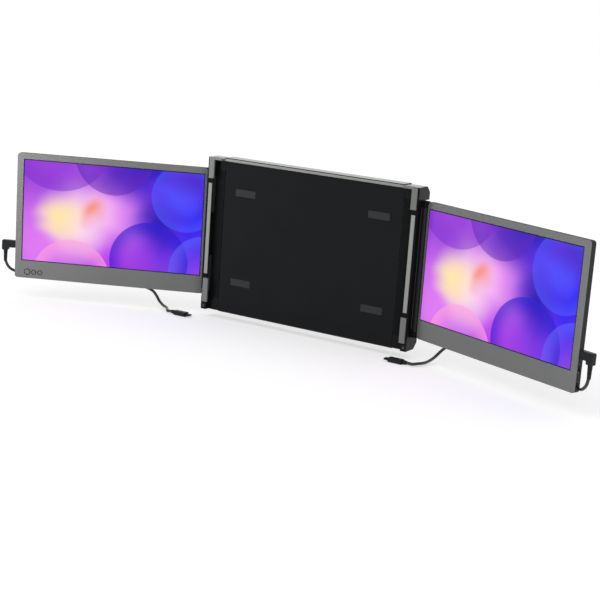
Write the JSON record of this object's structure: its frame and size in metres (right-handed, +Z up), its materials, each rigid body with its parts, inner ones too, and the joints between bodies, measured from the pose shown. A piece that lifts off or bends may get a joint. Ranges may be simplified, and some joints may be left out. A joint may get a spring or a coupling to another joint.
{
  "type": "laptop screen extender",
  "caption": "Screen extender with a centre housing that holds a laptop's lid between sliding side frames, and a hinged monitor with its cable at each side.",
  "frame": {"origin": "middle of the centre housing's front face, on which the held lid's back rests", "axes": "+X to the user's right along the rails, -Y out of the front face towards the user, +Z up"},
  "size_m": [0.8727, 0.1446, 0.2252],
  "materials": {
    "housing_plastic": "fine grained",
    "cover_plastic": "fine grained",
    "screw_steel": "blackened",
    "rubber": "smooth",
    "pin_steel": "ground",
    "foot_plastic": "fine grained",
    "post_metal": "black anodised",
    "strip_metal": "grey satin",
    "cap_plastic": "fine grained",
    "grip_plastic": "satin",
    "rail_metal": "drawn",
    "bezel_plastic": "satin",
    "display_glass": "lit picture behind clear glass",
    "shell_plastic": "fine grained",
    "board": "solder mask",
    "socket_metal": "nickel plated",
    "plug_plastic": "moulded",
    "cord_jacket": "smooth jacket",
    "button_plastic": "satin"
  },
  "bodies": {
    "frame": {"centre_housing": "housing_plastic", "rear_covers": "cover_plastic", "cover_screws": "screw_steel", "panel_pads": "rubber", "foot_pin": "pin_steel"},
    "foot": {"support_foot": "foot_plastic", "foot_rubber": "rubber"},
    "left_frame": {"left_post": "post_metal", "left_front_strip": "strip_metal", "left_upper_cap": "cap_plastic", "left_lower_cap": "cap_plastic", "left_grips": "grip_plastic", "left_edge_pads": "rubber", "left_rails": "rail_metal", "left_hinge_pins": "pin_steel", "left_cap_screws": "screw_steel"},
    "right_frame": {"right_post": "post_metal", "right_front_strip": "strip_metal", "right_upper_cap": "cap_plastic", "right_lower_cap": "cap_plastic", "right_grips": "grip_plastic", "right_edge_pads": "rubber", "right_rails": "rail_metal", "right_hinge_pins": "pin_steel", "right_cap_screws": "screw_steel"},
    "left_monitor": {"left_bezel": "bezel_plastic", "left_display": "display_glass", "left_rear_shell": "shell_plastic", "left_circuit_board": "board", "left_socket_shells": "socket_metal", "left_shell_screws": "screw_steel", "left_screen_plug": "plug_plastic", "left_cord": "cord_jacket", "left_end_plug": "plug_plastic"},
    "right_monitor": {"right_bezel": "bezel_plastic", "right_display": "display_glass", "right_rear_shell": "shell_plastic", "right_circuit_board": "board", "right_socket_shells": "socket_metal", "right_shell_screws": "screw_steel", "right_screen_plug": "plug_plastic", "right_cord": "cord_jacket", "right_end_plug": "plug_plastic"},
    "menu_button": {"menu_button": "button_plastic"},
    "minus_button": {"minus_button": "button_plastic"},
    "plus_button": {"plus_button": "button_plastic"}
  },
  "joints": [
    {"name": "left_slide", "type": "slide", "parent": "frame", "child": "left_frame", "axis": [-1, 0, 0], "range_m": [0, 0.03]},
    {"name": "right_slide", "type": "slide", "parent": "frame", "child": "right_frame", "axis": [1, 0, 0], "range_m": [0, 0.03]},
    {"name": "left_hinge", "type": "hinge", "parent": "left_frame", "child": "left_monitor", "pos_m": [-0.165, 0.0085, 0], "axis": [0, 0, 1], "range_deg": [-116, 59]},
    {"name": "right_hinge", "type": "hinge", "parent": "right_frame", "child": "right_monitor", "pos_m": [0.165, 0.0085, 0], "axis": [0, 0, -1], "range_deg": [-111, 64]},
    {"name": "foot_hinge", "type": "hinge", "parent": "frame", "child": "foot", "pos_m": [0, 0.013, -0.0785], "axis": [-1, 0, 0], "range_deg": [0, 130]},
    {"name": "menu_press", "type": "slide", "parent": "left_monitor", "child": "menu_button", "axis": [-0.4384, 0.8988, 0], "range_m": [0, 0.0005], "stiffness_N_per_m": 150},
    {"name": "minus_press", "type": "slide", "parent": "left_monitor", "child": "minus_button", "axis": [-0.4384, 0.8988, 0], "range_m": [0, 0.0005], "stiffness_N_per_m": 150},
    {"name": "plus_press", "type": "slide", "parent": "left_monitor", "child": "plus_button", "axis": [-0.4384, 0.8988, 0], "range_m": [0, 0.0005], "stiffness_N_per_m": 150}
  ]
}
